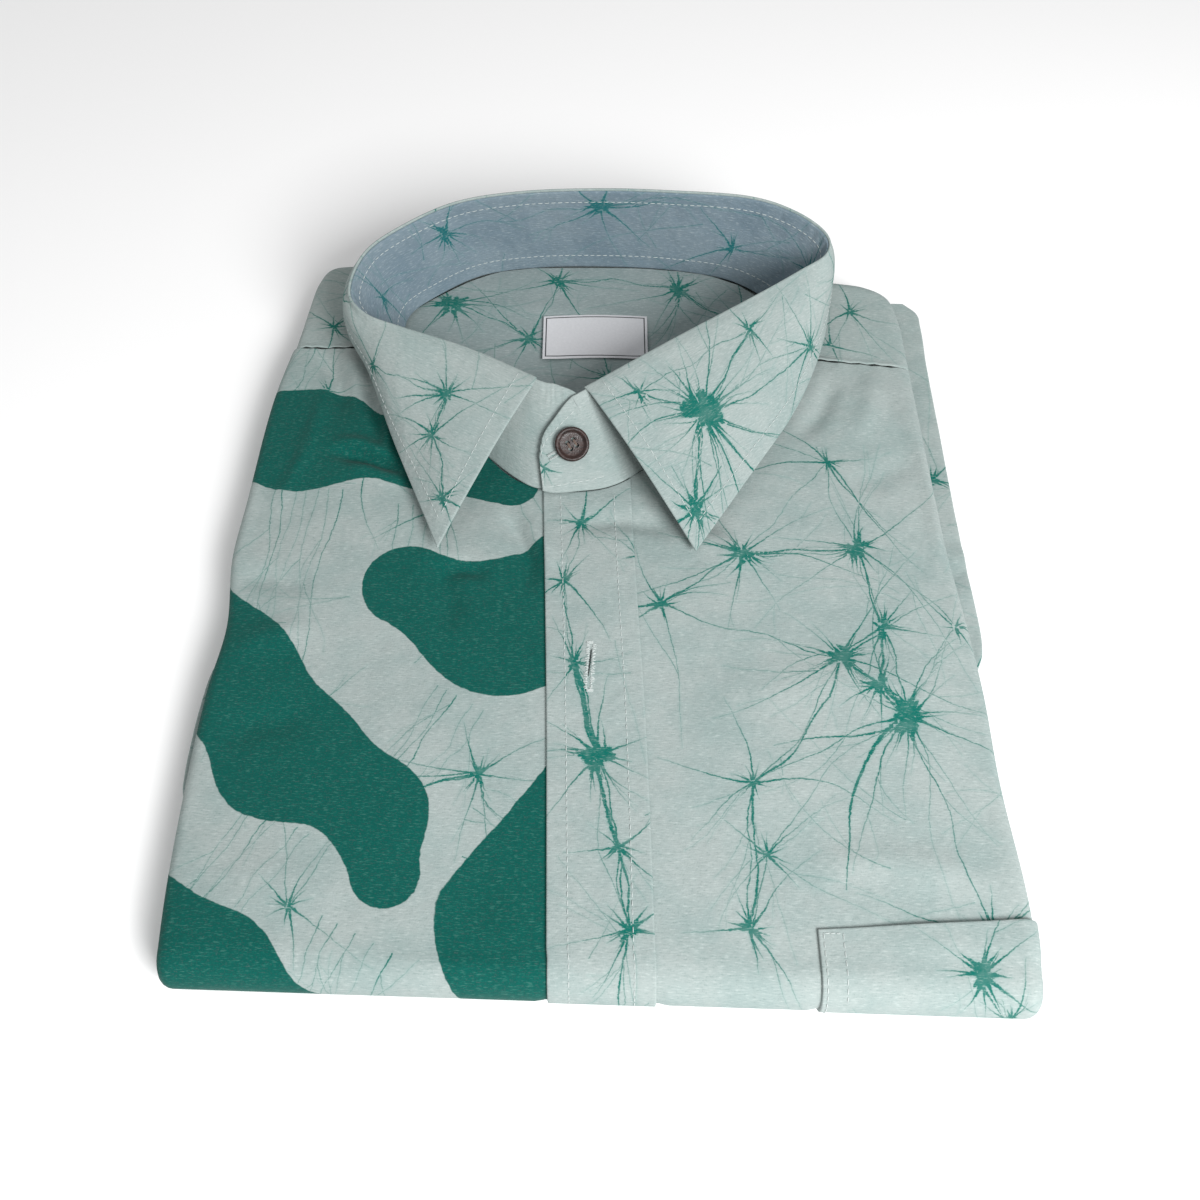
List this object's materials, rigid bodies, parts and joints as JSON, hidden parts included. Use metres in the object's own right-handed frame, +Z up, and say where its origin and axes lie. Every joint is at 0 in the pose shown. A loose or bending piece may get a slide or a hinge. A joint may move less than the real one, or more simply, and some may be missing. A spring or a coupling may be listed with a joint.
{
  "type": "folded batik shirt",
  "caption": "Short-sleeved collared shirt in dyed cotton, buttoned at the neck and folded flat for sale, with its collar standing as a ring.",
  "frame": {"origin": "centre of the box's bottom face, on the surface that the folded shirt lies on", "axes": "+Y up the shirt from the bottom fold to the collar, +X to the wearer's left, +Z up"},
  "size_m": [0.278, 0.334, 0.0563],
  "materials": {
    "batik_cotton": "slubby pale mint cotton with teal-green crackle veins and star bursts",
    "pool_cotton": "the same cotton with large solid dark teal-green pools",
    "stand_lining": "the same cotton over interlining, blue-grey on the inside of the band",
    "label_tape": "smooth white woven tape with a thin dark border, bare inside",
    "button_shell": "dark brown coconut shell, turned and scratched"
  },
  "bodies": {
    "root": {"folded_body": "batik_cotton", "front_right": "pool_cotton", "front_left": "batik_cotton", "placket": "batik_cotton", "pocket": "batik_cotton", "yoke": "batik_cotton", "yoke_inside": "batik_cotton", "sleeve_left": "batik_cotton", "sleeve_right": "batik_cotton", "collar_stand": "stand_lining", "collar_leaf": "batik_cotton", "label": "label_tape", "neck_button": "button_shell"}
  },
  "joints": []
}
